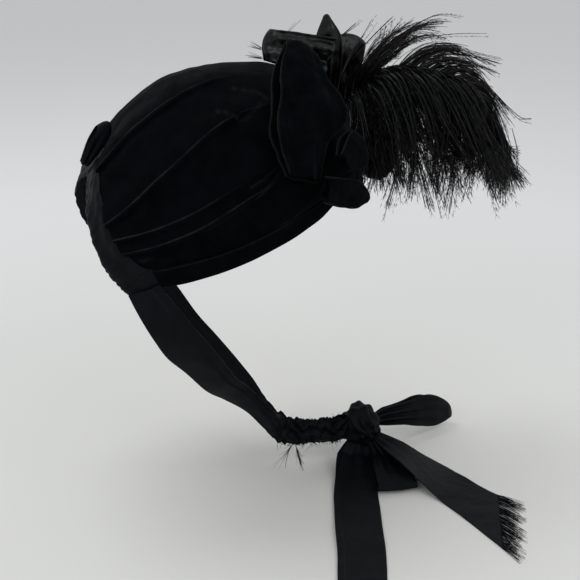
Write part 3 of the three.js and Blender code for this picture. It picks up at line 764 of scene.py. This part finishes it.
def wrap_surface(u, v):
    turn = math.tau * v
    round_it = WRAP_AXIS.orthogonal().normalized()
    round_it.rotate(Matrix.Rotation(turn, 3, WRAP_AXIS))
    half_width = 0.5 + 0.1 * math.sin(turn + 1.0)
    across = (2 * u - 1) * half_width + 0.12 * math.sin(2 * turn)
    way = (round_it * math.cos(across) + WRAP_AXIS * math.sin(across)).normalized()
    folds = 0.75 * math.sin(math.tau * (2.3 * u + 0.25 * math.sin(turn)))
    folds += 0.5 * wobble(way * 10, 3.5, 9.0)
    edge = 1 - smooth(0.75, 1, abs(2 * u - 1))
    return knot_skin(way, 0.3 + (1.7 + folds) * edge), 0.0


knot = add_piece("knot_ribbon", knot_mesh(), RIBBON, ["chin_knot"])
wrap = add_piece("knot_wrap", grid_cloth("knot_wrap", wrap_surface, 30, 120, 20, 84), RIBBON,
                 wall=0.4, offset=0.0)

# %% [markdown]
# One loop of the bow stands out past the knot, and the other lies below it on the floor. Then
# come the two ends: a long one cut clean and one whose weave has ravelled.

# %% Bow loops and tails
BOW_LOOPS = [
    ("bow_ribbon_upper", "bow_loop_upper", (23, 132), dict(
        root=(121.3, 7, -257), tip=(191, 29, -269.5), across=(-0.1, 0.35, 0.93), swell=6,
        widths=[(6, 6), (8, 9), (11.5, 12.5), (6.5, 6)], rounded=3, skew=3, folds=3.2,
        fold_depth=1.8, rough=0.9, seed=1.9)),
    ("bow_ribbon_lower", "bow_loop_lower", (24, 84), dict(
        root=(116, -18, -273.5), tip=(112, -57, -278.5), across=(1, 0, 0), swell=3.5,
        widths=[(8, 6), (12, 11), (14, 14)], rounded=1, folds=3, fold_depth=0.9, rough=0.4,
        seed=2.9)),
]
for name, node, flat, shape in BOW_LOOPS:
    add_loop(name, node, RIBBON, "black_faille_ribbon", flat, wall=0.45, rests_on="knot_ribbon",
             tuck=KNOT, **shape)

# x, y, z of an end's left edge and of its right edge, from the knot to its end
LONG_TAIL = [(88, -2, -270.5, 111.5, -7.5, -274.5), (82, -14, -276, 109, -20, -278.5),
             (77, -27, -280, 105, -33, -281), (69.5, -45, -282, 98.5, -53, -282),
             (62.5, -66, -282, 93, -71, -282), (55.5, -88, -281, 86.5, -91, -281.5),
             (49, -110, -282, 79, -115, -282), (42, -130, -282, 71, -137, -282),
             (34.5, -152, -282, 62.5, -158, -282)]
FRAYED_TAIL = [(111.5, -14.5, -265, 122, -7, -263), (113, -29, -264, 135, -12, -270),
               (118.5, -44, -267, 147, -15, -279), (127, -57, -274.5, 155.4, -26, -282),
               (135.5, -76, -281.5, 163, -46, -282), (141.5, -99, -282, 169, -63, -282),
               (146, -121, -282, 174.5, -76, -282), (149.5, -139, -282, 179, -82, -282)]
LYING = -282.3  # height at which the ends lie
RIBBON_WALL = 0.45  # mm
SEAM = (0.13, 0.16)  # share of the long end's width that is turned under, and its step


def tail_place(table, u, v):
    lx, ly, lz, rx, ry, rz = columns(table, v)
    return Vector((lx, ly, lz)).lerp(Vector((rx, ry, rz)), u)


def tail_surface(table, seed, seam=0.0, ravelled=False):
    """One end. seam is the thickness in mm of an edge turned under. A ravelled end is a little
    shorter than its table, and its last cross thread runs unevenly at a slant."""
    def surface(u, v):
        short = 0.02 + 0.075 * u + 0.03 * wobble((u * 30, 0, 0), 4, 9.0) if ravelled else 0.0
        place = tail_place(table, u, v * (1 - short))
        place.z += seam * (1 - smooth(*SEAM, u))
        pulled = 1 - smooth(0, 0.35, v)
        place.z += 1.0 * pulled * math.sin(math.pi * 2.6 * (2 * u - 1) + seed)
        place.z += 0.9 * max(0.0, wobble(place, 20, seed)) + 0.3 * max(0.0, wobble(place, 6, seed))
        place.z = max(place.z, LYING + RIBBON_WALL / 2 + 0.05)
        return place.lerp(KNOT, 0.5 * (1 - smooth(0, 0.06, v))), 0.0
    return surface


for name, node, surface in (
        ("tail_ribbon_long", "tail_long", tail_surface(LONG_TAIL, 0.4, seam=0.7)),
        ("tail_ribbon_frayed", "tail_frayed", tail_surface(FRAYED_TAIL, 3.6, ravelled=True))):
    mesh = grid_cloth(name, surface, 60, 150, RIBBON_WIDTH, 160)
    tail = add_piece(name, mesh, RIBBON, [node], wall=RIBBON_WALL, offset=0.0)

# %% [markdown]
# Threads and barbs are strands, far too thin to be modelled as solids. Each is a curve given
# a narrow width that tapers to its tip, and all the curves of one piece are made a mesh at once.

# %% Helpers for strands


def taper(count, thin):
    """Shares of the full width at count points, from 1 at the root to thin at the tip."""
    return [lerp(1.0, thin, (k / (count - 1)) ** 1.4) for k in range(count)]


def strands_mesh(name, paths, width, rounded):
    """paths holds (points in mm, share of the full width at each, tilt)."""
    curve = bpy.data.curves.new(name, "CURVE")
    curve.dimensions = "3D"
    if rounded:
        curve.bevel_depth = width / 2 * MM
        curve.bevel_resolution = 0
    else:
        curve.extrude = width / 2 * MM
    for places, shares, tilt in paths:
        spline = curve.splines.new("POLY")
        spline.points.add(len(places) - 1)
        rows = [(p.x * MM, p.y * MM, p.z * MM, 1.0) for p in places]
        spline.points.foreach_set("co", [number for row in rows for number in row])
        spline.points.foreach_set("radius", shares)
        spline.points.foreach_set("tilt", [tilt] * len(places))
    holder = bpy.data.objects.new(name + "_lines", curve)
    bpy.context.scene.collection.objects.link(holder)
    drawn = holder.evaluated_get(bpy.context.evaluated_depsgraph_get())
    mesh = bpy.data.meshes.new_from_object(drawn)
    bpy.data.objects.remove(holder)
    mesh.name = name
    return mesh


def add_strands(name, paths, width, material, node=None, rounded=False):
    mesh = strands_mesh(name, paths, width, rounded)
    add_piece(name, mesh, material, [node] if node else [])


# %% [markdown]
# At the ravelled end the cross threads have fallen out, and the long ones lie loose in little
# clumps. Two tufts of broken threads also hang from the crushed ribbon under the chin, and short
# fuzz stands along its edges, where the weave is breaking up.

# %% Loose threads
RAVELLED = 260  # threads at the ravelled end
RAVEL_START = 0.965  # station of the last cross thread, at the left edge
RAVEL_SLANT = 0.08  # how much earlier it lies at the right edge
RAVEL_LENGTH = 150  # mm from the knot to the end, which sets the threads' lengths
FUZZ = 110  # short threads along the crushed stretch
fray_rng = random.Random(11)


def ravelled_threads():
    paths = []
    clumps = [fray_rng.uniform(0, 1) for _ in range(16)] + [0.0, 1.0]
    for _ in range(RAVELLED):
        u = fray_rng.uniform(0.0, 1.0)
        begin = RAVEL_START - RAVEL_SLANT * u
        start = tail_place(FRAYED_TAIL, u, begin)
        run = (tail_place(FRAYED_TAIL, u, 1.0) - start).normalized()
        clump = min(clumps, key=lambda centre: abs(centre - u))
        side = run.cross(Vector((0, 0, 1)))
        drift = 1.6 * (clump - u) + fray_rng.gauss(0, 0.07)
        reach = RAVEL_LENGTH * (1.035 - begin) * fray_rng.uniform(0.55, 1.15) * (1.6 - 0.8 * u)
        lift = fray_rng.uniform(0, 0.9)
        places = []
        for j in range(6):
            s = j / 5
            place = start + run * (reach * s) + side * (reach * drift * s * s)
            place.z = max(LYING + 0.2, place.z + lift * math.sin(math.pi * s))
            places.append(place)
        paths.append((places, taper(6, 0.5), 0.0))
    return paths


TUFTS = [  # root, end, how many threads, spread in mm
    (Vector((50, -14, -256)), Vector((36, -24, -268)), 9, 4.5),
    (Vector((52, -14, -257)), Vector((54, -22, -272)), 34, 3.0),
]


def tuft_threads():
    paths = []
    for root, end, count, spread in TUFTS:
        for _ in range(count):
            lean = Vector([fray_rng.gauss(0, spread / 2) for _ in range(3)])
            reach = fray_rng.uniform(0.5, 1.1)
            places = []
            for j in range(6):
                s = j / 5
                place = root.lerp(end, s * reach) + lean * s * s
                place.z = max(LYING + 0.3, place.z)
                places.append(place)
            paths.append((places, taper(6, 0.4), 0.0))
    return paths


def fuzz_threads():
    paths = []
    for _ in range(FUZZ):
        ox, oy, oz, ix, iy, iz = columns(TIE, fray_rng.uniform(CHIN_START, 0.97))
        outer, inner = Vector((ox, oy - 1.5, oz)), Vector((ix, iy - 1.5, iz))
        root, away = fray_rng.choice(((outer, outer - inner), (inner, inner - outer)))
        lean = Vector([fray_rng.gauss(0, 0.8) for _ in range(3)])
        reach = (away.normalized() + lean * 0.8) * fray_rng.uniform(0.2, 1.6) ** 2
        places = [root - reach * 0.5, root + reach * 0.6, root + reach + lean]
        paths.append((places, taper(3, 0.4), 0.0))
    return paths


add_strands("ravelled_threads", ravelled_threads(), 0.34, RIBBON, rounded=True)
add_strands("chin_threads", tuft_threads() + fuzz_threads(), 0.3, RIBBON,
            rounded=True)

# %% [markdown]
# An ostrich plume has a soft quill with long barbs on both sides. Its barbs carry barbules but
# no hooks, so they never lock into a flat vane: they part into clumps whose tips draw together
# and curl. The right vane hangs thickly down before the brow, and the left one arches over.
# Between them runs an inner row, and loose barbs and short fluff hide the foot of the quill.

# %% Barbs
# x, y, z of the quill and the length of its barbs on the right and left, root to tip
QUILL = [(91, 3, -29, 52, 58), (101, 3, -13, 78, 68), (116, 3, -7, 87, 68), (135, 3, -7, 87, 66),
         (156, 3, -12, 80, 62), (177, 3, -24, 68, 54), (193, 3, -42, 52, 42), (202, 3, -61, 30, 28)]
# forward, outward, rise and fall of a barb of unit length, root to tip
RIGHT_BARBS = [(0.18, -0.42, 0.1, 0.92), (0.26, -0.4, 0.12, 0.96), (0.25, -0.34, 0, 0.8)]
# These two rows stop near the root, so their second entries are never reached
ROOT_BARBS = [(-0.1, -0.35, 0.35, 0.95), (1.2, -0.3, 0.3, 0.9)]
FLUFF_BARBS = [(0.0, -0.2, 0.75, 0.25), (3.0, -0.1, 0.6, 0.3)]
INNER_BARBS = [(0.2, -0.05, 0.45, 1.0), (0.32, -0.12, 0.3, 0.9), (0.4, -0.1, 0.1, 0.72)]
LEFT_BARBS = [(0.5, 0.15, 1.1, 0.35), (0.8, 0.3, 0.85, 0.52), (0.92, 0.35, 0.5, 0.64),
              (0.68, 0.35, 0.2, 0.75), (0.4, 0.3, 0.05, 0.9)]
BARB_POINTS = 12
BARE_POINTS = 3  # points of a barb before its first barbules
BARBULE_STEP = 4.0  # mm between pairs of barbules, wider than the real 1 mm
HOOK_START = 0.6  # share of a barb's length from which its tip hooks
HOOK_BEND = 2.0  # how sharply it hooks
HOOK_LENGTH = 75  # mm, the barb that has its full hook: shorter ones hook less
CLUMP_PULL = 0.85  # how far a clump's barbs draw together at their tips, from 0 to 1
CLUMP_LEAN = 0.06  # how much clumps differ in lean, as a share of their length
CLUMP_FOOT = 0.02  # share of the quill over which the feet of a clump are spread
OWN_LEAN = 0.05  # how much the barbs of one clump differ in lean and in splay
OWN_SPLAY = 0.06
CLUMP_REACHES = (0.7, 0.86, 0.94, 1.0, 1.04)  # a clump's length, as a share of the table's
plume_rng = random.Random(5)


def barb_path(t, side, habit, shift, lean, splay, reach):
    """The points of one barb. lean and splay turn it forwards and outwards from its habit."""
    x, y, z, right, left = columns(QUILL, t)
    forward, outward, rise, fall = columns(habit, t)
    length = (right if side == "right" else left) * reach
    places = []
    for k in range(BARB_POINTS):
        s = k / (BARB_POINTS - 1)
        places.append(Vector((x, y, z)) + shift + length * Vector((
            (forward + lean) * s, (outward + splay) * s * (1.2 - 0.2 * s), rise * s - fall * s * s)))
    return places


def curled(places, guide, hook, pull):
    """Draw a barb towards its clump's guide, more so towards the tip, and hook its end."""
    bent = []
    for k, (own, shared) in enumerate(zip(places, guide)):
        s = k / (BARB_POINTS - 1)
        place = own.lerp(shared, pull * smooth(0.2, 0.9, s))
        bent.append(place + hook * HOOK_BEND * max(0.0, s - HOOK_START) ** 2)
    return bent


def barbules(places, size):
    """Short hairs in pairs along one barb, leaning towards its tip."""
    paths = []
    for k in range(BARE_POINTS, len(places) - 1):
        run = places[k + 1] - places[k]
        steps = max(1, round(run.length / BARBULE_STEP))
        ahead = run.normalized()
        for j in range(steps):
            start = places[k] + run * ((j + plume_rng.random()) / steps)
            side = run.orthogonal().normalized()
            side.rotate(Matrix.Rotation(plume_rng.uniform(0, math.tau), 3, ahead))
            reach = size * plume_rng.uniform(0.5, 1.2) * (0.6 + 0.6 * k / len(places))
            for way in (1, -1):
                end = start + (ahead + side * 0.45 * way) * reach
                paths.append(([start, end], [0.4, 0.12], plume_rng.uniform(0, math.pi)))
    return paths


# %% [markdown]
# A vane is a row of clumps along the quill. The barbs of one clump share a lean and a hook, and
# each has a little of its own, so that light comes through between the clumps near their tips.

# %% Vanes


def vane(side, habit, shift, clumps, per_clump, ranges=((0.0, 1.0),), size=3.2, hook=26.0,
         splay=0.12, inward=1.1):
    """The strands of one vane. ranges are the stretches of the quill that have barbs, size is
    the length of a barbule in mm, hook the size of a tip's hook, splay how much clumps differ in
    how far out they stand, and inward how much those near the tip turn back."""
    paths = []
    total = sum(end - start for start, end in ranges)
    for start, end in ranges:
        count = round(clumps * (end - start) / total)
        for c in range(count):
            t0 = lerp(start, end, (c + plume_rng.random()) / count)
            lean, spread = plume_rng.gauss(0, CLUMP_LEAN), plume_rng.gauss(0, splay)
            lean -= 0.2 * inward * smooth(0.45, 1, t0)
            reach = plume_rng.choice(CLUMP_REACHES)
            guide = barb_path(t0, side, habit, shift, lean, spread, reach)
            bend = hook * (guide[-1] - guide[0]).length / HOOK_LENGTH * Vector((
                plume_rng.gauss(0.3 - inward * t0, 1.3), plume_rng.gauss(0, 0.9),
                plume_rng.gauss(0.25, 0.8)))
            for _ in range(per_clump):
                t = clamp(t0 + plume_rng.gauss(0, CLUMP_FOOT), 0, 1)
                own = barb_path(t, side, habit, shift, lean + plume_rng.gauss(0, OWN_LEAN),
                                spread + plume_rng.gauss(0, OWN_SPLAY),
                                reach * plume_rng.uniform(0.8, 1.05))
                loose = Vector([plume_rng.gauss(0, 0.3 * hook) for _ in range(3)])
                pull = CLUMP_PULL * plume_rng.uniform(0.5, 1.0)
                places = curled(own, guide, bend + loose, pull)
                paths.append((places, taper(BARB_POINTS, 0.4), plume_rng.uniform(0, math.pi)))
                paths += barbules(places, size)
    return paths


# name, the node it stands for, finish, width of a barb in mm, strands
PLUMES = [
    ("plume_drooping", "plume_main", OSTRICH, 0.78, vane(
        "right", RIGHT_BARBS, Vector((0, 0, 0)), clumps=120, per_clump=12)),
    ("plume_inner", None, OSTRICH, 0.78, vane(
        "right", INNER_BARBS, Vector((0, 1, 0)), clumps=84, per_clump=12)),
    ("plume_root", None, OSTRICH, 0.7, vane(
        "right", ROOT_BARBS, Vector((-5, -6, -2)), clumps=34, per_clump=12,
        ranges=((0.0, 0.2),)) + vane(
        "left", FLUFF_BARBS, Vector((-1, -4, -2)), clumps=12, per_clump=9, size=1.7,
        ranges=((0.0, 0.14),), hook=10.0)),
    ("plume_arching", "plume_upper", OSTRICH_THIN, 0.6, vane(
        "left", LEFT_BARBS, Vector((0, 3.5, 1)), clumps=62, per_clump=12, size=1.7,
        ranges=((0.0, 0.10), (0.15, 0.27), (0.36, 1.0)), splay=0.07, hook=15.0, inward=0.6)),
]
for name, node, material, width, paths in PLUMES:
    add_strands(name, paths, width, material, node)

# %% [markdown]
# A few single barbs have worked loose and stand clear of the plume. Frayed ends of satin show
# where the bow was cut.

# %% Wisps and quill
WISPS = [
    [(111.3, 12, -1.7), (122, 12, 8), (134.2, 12, 17.1), (146.5, 12, 23.7), (158.4, 12, 26.8),
     (173.5, 12, 24.6)],
    [(125.9, 14, 0.1), (136.9, 14, 7.3), (152.3, 14, 12), (170.9, 14, 13.3), (192.8, 14, 12.7)],
    [(198.5, 8, -24.3), (209.9, 8, -35.7), (219.8, 8, -43.7), (227.7, 8, -45.5)],
    [(213, 6, -49.2), (219, 6, -64.8), (220.7, 6, -75.5), (223.8, 6, -84.2)],
    [(96.7, 10, 0.3), (106, 10, 10), (115.3, 10, 18.4), (124, 10, 25.6)],
    [(90.2, 14, -11.3), (98.1, 14, 4.8), (106.1, 14, 14.6), (112.6, 14, 24.4)],
]
SATIN_ENDS = [  # root and tip of each tuft, how many threads
    ((52.4, 9, 18), (61, 9, 26.2), 3), ((37, 9, 3.6), (28.5, 9, 5.6), 7),
    ((36.5, 9, 9.5), (30.5, 9, 12.5), 9), ((97, 29, 14), (107, 27, 21.4), 6),
]


def wisp_paths():
    paths = []
    for course in WISPS:
        for _ in range(3):
            drift = Vector([plume_rng.gauss(0, 1.2) for _ in range(3)])
            places = [point(course, k / 19) + drift * (k / 19) for k in range(20)]
            paths.append((places, taper(20, 0.3), plume_rng.uniform(0, math.pi)))
            paths += barbules(places, 1.6)
    return paths


def satin_threads():
    paths = []
    for root, tip, count in SATIN_ENDS:
        for _ in range(count):
            off = Vector([plume_rng.gauss(0, 0.9) for _ in range(3)])
            places = [Vector(root).lerp(Vector(tip), k / 4) + off * (0.5 + k / 4) for k in range(5)]
            paths.append((places, taper(5, 0.5), 0.0))
    return paths


add_strands("plume_wisps", wisp_paths(), 0.75, OSTRICH_THIN)
add_strands("satin_threads", satin_threads(), 0.3, SATIN, rounded=True)
quill_places = [point(QUILL, k / 40) + Vector((0, 1.2, 0.6)) for k in range(41)]
quill_path = (quill_places, taper(len(quill_places), 0.2), 0.0)
add_strands("plume_quill", [quill_path], 2.4, OSTRICH, rounded=True)

# %% [markdown]
# A pale floor and soft light from large lamps show black cloth best: the broad lamp above and
# behind draws the sheen along the folds, and the weaker ones keep the shadows open.

# %% Floor, light and world


def floor_material():
    material, tree, shader = new_material("pale floor", {"Roughness": 0.8, "Specular IOR Level": 0.15})
    place = add_node(tree, "ShaderNodeTexCoord").outputs["Object"]
    far = add_node(tree, "ShaderNodeVectorMath", {"operation": "LENGTH"}, links={0: place})
    ramp = colour_ramp(tree, far.outputs["Value"], [(0.30, "#cfcfcc"), (0.85, "#dadbdc")])
    tree.links.new(ramp.outputs["Color"], shader.inputs["Base Color"])
    return material


def add_floor():
    disc = bmesh.new()
    bmesh.ops.create_circle(disc, cap_ends=True, segments=96, radius=12.0)
    bmesh.ops.translate(disc, vec=Vector((0, 0, (LYING - 0.15) * MM)), verts=disc.verts)
    mesh = as_mesh("floor", disc)
    mesh.materials.append(floor_material())
    floor = bpy.data.objects.new("floor", mesh)
    bpy.context.scene.collection.objects.link(floor)


def add_lamp(name, place, size, watts, colour):
    lamp = bpy.data.lights.new(name, "AREA")
    lamp.shape = "DISK"
    lamp.size = size
    lamp.energy = watts
    lamp.color = linear(colour)[:3]
    holder = bpy.data.objects.new(name, lamp)
    bpy.context.scene.collection.objects.link(holder)
    holder.location = place
    aim = Vector((0.05, 0, -0.12)) - Vector(place)
    holder.rotation_euler = aim.to_track_quat("-Z", "Y").to_euler()


add_floor()
add_lamp("lamp_above", (-0.35, 0.25, 1.3), 0.9, 9.0, "#f8fafb")
add_lamp("lamp_front", (0.9, -1.3, 0.9), 0.9, 5.0, "#fffdfa")
add_lamp("lamp_side", (-1.2, -1.0, 0.7), 0.8, 3.0, "#eef4fa")
world = bpy.data.worlds.new("studio")
world.use_nodes = True
background = world.node_tree.nodes["Background"]
background.inputs["Color"].default_value = linear("#e2e3e4")
background.inputs["Strength"].default_value = 0.95
bpy.context.scene.world = world
bpy.context.scene.view_settings.view_transform = "Standard"
